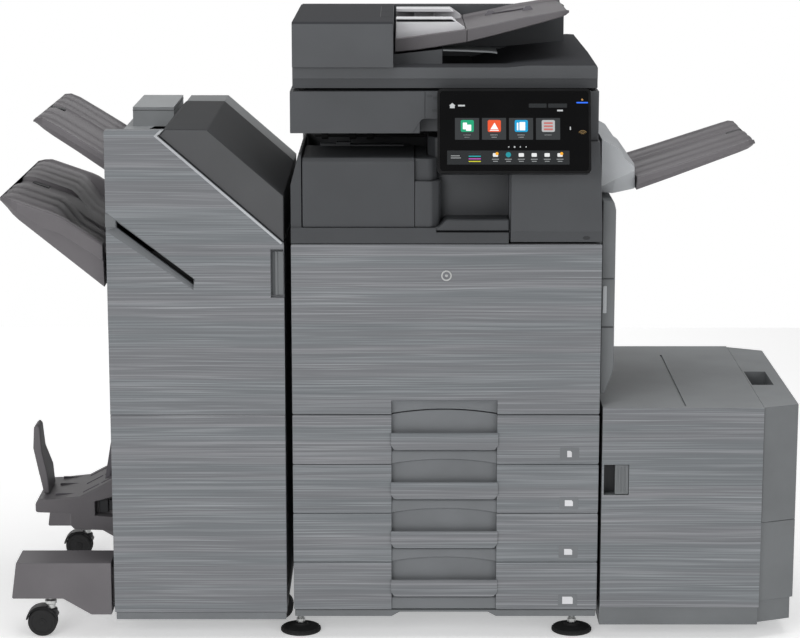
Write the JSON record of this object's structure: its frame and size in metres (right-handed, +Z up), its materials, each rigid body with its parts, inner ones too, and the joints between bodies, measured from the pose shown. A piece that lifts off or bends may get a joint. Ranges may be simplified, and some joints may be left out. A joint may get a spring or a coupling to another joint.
{
  "type": "floor-standing multifunction photocopier",
  "caption": "Floor-standing colour copier with document feeder, tilting touch panel, paper drawers, saddle finisher and side paper tray.",
  "frame": {"origin": "middle of the footprint box, on the floor", "axes": "+X to the right seen from the front, +Y to the back, +Z up"},
  "size_m": [1.569, 0.7142, 1.247],
  "materials": {
    "panel_grey": "satin",
    "dark_grey": "matte",
    "inner_dark": "matte",
    "tray_grey": "matte",
    "side_grey": "matte",
    "black_plastic": "satin",
    "guide_light": "satin",
    "exit_light_grey": "matte",
    "screen_glass": "gloss",
    "platen_glass": "gloss",
    "steel": "satin",
    "toner_yellow": "satin",
    "toner_magenta": "satin",
    "toner_cyan": "satin"
  },
  "bodies": {
    "machine": {"base_plinth": "side_grey", "left_side_cover": "side_grey", "right_side_frame": "side_grey", "rear_cover": "side_grey", "engine_deck": "steel", "output_deck": "dark_grey", "scanner_stand": "dark_grey", "paper_pass_unit": "dark_grey", "scanner_housing": "dark_grey", "platen_glass": "platen_glass", "levelling_foot_1": "black_plastic", "levelling_foot_2": "black_plastic", "levelling_foot_3": "black_plastic", "levelling_foot_4": "black_plastic", "toner_cartridge_yellow": "toner_yellow", "toner_cartridge_magenta": "toner_magenta", "toner_cartridge_cyan": "toner_cyan", "toner_cartridge_black": "black_plastic", "transfer_unit": "inner_dark", "fuser_unit": "inner_dark", "exit_unit": "exit_light_grey", "exit_tray": "tray_grey"},
    "scan_carriage": {"scan_carriage": "black_plastic"},
    "adf_lid": {"adf_base": "dark_grey"},
    "adf_cover": {"adf_feed_cover": "dark_grey"},
    "adf_roller": {"adf_pickup_roller": "black_plastic"},
    "feed_tray": {"adf_feed_tray": "tray_grey"},
    "guide_front": {"adf_guide_front": "guide_light"},
    "guide_rear": {"adf_guide_rear": "guide_light"},
    "panel": {"control_panel": "black_plastic", "touch_screen": "screen_glass"},
    "front_door": {"front_door": "panel_grey"},
    "drawer_1": {"drawer_front_1": "panel_grey", "drawer_tray_1": "inner_dark"},
    "drawer_2": {"drawer_front_2": "panel_grey", "drawer_tray_2": "inner_dark"},
    "drawer_3": {"drawer_front_3": "panel_grey", "drawer_tray_3": "inner_dark"},
    "drawer_4": {"drawer_front_4": "panel_grey", "drawer_tray_4": "inner_dark"},
    "side_door": {"right_side_door": "side_grey"},
    "bypass": {"bypass_tray": "side_grey"},
    "finisher": {"finisher_cabinet": "side_grey", "finisher_upper_tray": "tray_grey", "booklet_tray": "tray_grey", "outrigger_front": "tray_grey", "outrigger_rear": "tray_grey"},
    "finisher_upper_door": {"finisher_upper_door": "panel_grey"},
    "finisher_lower_door": {"finisher_lower_door": "panel_grey"},
    "finisher_top": {"finisher_top_cover": "dark_grey"},
    "offset_tray": {"finisher_lower_tray": "tray_grey"},
    "booklet_paddle": {"booklet_paddle": "tray_grey"},
    "caster_front": {"caster_front_fork": "black_plastic"},
    "caster_front_wheel": {"caster_front_wheel": "black_plastic"},
    "caster_rear": {"caster_rear_fork": "black_plastic"},
    "caster_rear_wheel": {"caster_rear_wheel": "black_plastic"},
    "lct": {"lct_cabinet": "panel_grey"},
    "lct_door": {"lct_side_door": "side_grey"},
    "lct_lever": {"lct_release_lever": "side_grey"},
    "lct_table": {"lct_lift_table": "steel"}
  },
  "joints": [
    {"name": "adf_lid_hinge", "type": "hinge", "parent": "machine", "child": "adf_lid", "pos_m": [0.0865, 0.31307, 1.102], "axis": [-1, 0, 0], "range_deg": [0, 60]},
    {"name": "adf_cover_hinge", "type": "hinge", "parent": "adf_lid", "child": "adf_cover", "pos_m": [-0.2085, 0.01307, 1.215], "axis": [0, -1, 0], "range_deg": [0, 65]},
    {"name": "pickup_roller_spin", "type": "hinge", "parent": "adf_lid", "child": "adf_roller", "pos_m": [-0.0635, -0.00193, 1.186], "axis": [0, 1, 0], "continuous": true},
    {"name": "feed_tray_hinge", "type": "hinge", "parent": "adf_lid", "child": "feed_tray", "pos_m": [-0.0125, -0.02193, 1.218], "axis": [0, -1, 0], "range_deg": [0, 20]},
    {"name": "guide_front_slide", "type": "slide", "parent": "feed_tray", "child": "guide_front", "axis": [0, 1, 0], "range_m": [0, 0.085]},
    {"name": "guide_rear_slide", "type": "slide", "parent": "feed_tray", "child": "guide_rear", "axis": [0, 1, 0], "range_m": [-0.085, 0]},
    {"name": "scan_carriage_slide", "type": "slide", "parent": "machine", "child": "scan_carriage", "axis": [1, 0, 0], "range_m": [0, 0.49]},
    {"name": "panel_tilt", "type": "hinge", "parent": "machine", "child": "panel", "pos_m": [0.214, -0.29293, 1.098], "axis": [-1, 0, 0], "range_deg": [0, 45]},
    {"name": "front_door_hinge", "type": "hinge", "parent": "machine", "child": "front_door", "pos_m": [0.0865, -0.29693, 0.4634], "axis": [1, 0, 0], "range_deg": [0, 85]},
    {"name": "drawer_1_slide", "type": "slide", "parent": "machine", "child": "drawer_1", "axis": [0, -1, 0], "range_m": [0, 0.44]},
    {"name": "drawer_2_slide", "type": "slide", "parent": "machine", "child": "drawer_2", "axis": [0, -1, 0], "range_m": [0, 0.44]},
    {"name": "drawer_3_slide", "type": "slide", "parent": "machine", "child": "drawer_3", "axis": [0, -1, 0], "range_m": [0, 0.44]},
    {"name": "drawer_4_slide", "type": "slide", "parent": "machine", "child": "drawer_4", "axis": [0, -1, 0], "range_m": [0, 0.44]},
    {"name": "side_door_hinge", "type": "hinge", "parent": "machine", "child": "side_door", "pos_m": [0.4085, -0.00993, 0.502], "axis": [0, 1, 0], "range_deg": [0, 30]},
    {"name": "bypass_tray_hinge", "type": "hinge", "parent": "side_door", "child": "bypass", "pos_m": [0.416, 0.00307, 0.561], "axis": [0, 1, 0], "range_deg": [0, 65]},
    {"name": "finisher_undock", "type": "slide", "parent": "machine", "child": "finisher", "axis": [-1, 0, 0], "range_m": [0, 0.2]},
    {"name": "finisher_upper_door_hinge", "type": "hinge", "parent": "finisher", "child": "finisher_upper_door", "pos_m": [-0.5735, -0.29693, 0.743], "axis": [0, 0, -1], "range_deg": [0, 95]},
    {"name": "finisher_lower_door_hinge", "type": "hinge", "parent": "finisher", "child": "finisher_lower_door", "pos_m": [-0.5735, -0.29693, 0.26], "axis": [0, 0, -1], "range_deg": [0, 95]},
    {"name": "finisher_top_hinge", "type": "hinge", "parent": "finisher", "child": "finisher_top", "pos_m": [-0.3535, 0.20807, 1.0265], "axis": [-1, 0, 0], "range_deg": [0, 40]},
    {"name": "offset_tray_lift", "type": "slide", "parent": "finisher", "child": "offset_tray", "axis": [0, 0, -1], "range_m": [0, 0.33]},
    {"name": "booklet_paddle_fold", "type": "hinge", "parent": "finisher", "child": "booklet_paddle", "pos_m": [-0.7415, -0.04993, 0.2475], "axis": [0, -1, 0], "range_deg": [0, 75]},
    {"name": "caster_front_swivel", "type": "hinge", "parent": "finisher", "child": "caster_front", "pos_m": [-0.7055, -0.26393, 0.05], "axis": [0, 0, 1], "continuous": true},
    {"name": "caster_front_roll", "type": "hinge", "parent": "caster_front", "child": "caster_front_wheel", "pos_m": [-0.7225, -0.26393, 0.0292], "axis": [0, 1, 0], "continuous": true},
    {"name": "caster_rear_swivel", "type": "hinge", "parent": "finisher", "child": "caster_rear", "pos_m": [-0.6995, 0.26807, 0.05], "axis": [0, 0, 1], "continuous": true},
    {"name": "caster_rear_roll", "type": "hinge", "parent": "caster_rear", "child": "caster_rear_wheel", "pos_m": [-0.7165, 0.26807, 0.0292], "axis": [0, 1, 0], "continuous": true},
    {"name": "lct_undock", "type": "slide", "parent": "machine", "child": "lct", "axis": [1, 0, 0], "range_m": [0, 0.2]},
    {"name": "lct_side_door_hinge", "type": "hinge", "parent": "lct", "child": "lct_door", "pos_m": [0.7835, -0.01393, 0.2425], "axis": [0, 1, 0], "range_deg": [0, 75]},
    {"name": "lct_lever_hinge", "type": "hinge", "parent": "lct", "child": "lct_lever", "pos_m": [0.448, -0.29693, 0.331], "axis": [0, 0, 1], "range_deg": [0, 30], "stiffness_Nm_per_rad": 0.5},
    {"name": "lct_table_lift", "type": "slide", "parent": "lct", "child": "lct_table", "axis": [0, 0, 1], "range_m": [0, 0.33]}
  ],
  "couplings": [
    {"joint": "guide_rear_slide", "follows": "guide_front_slide", "ratio": -1}
  ]
}
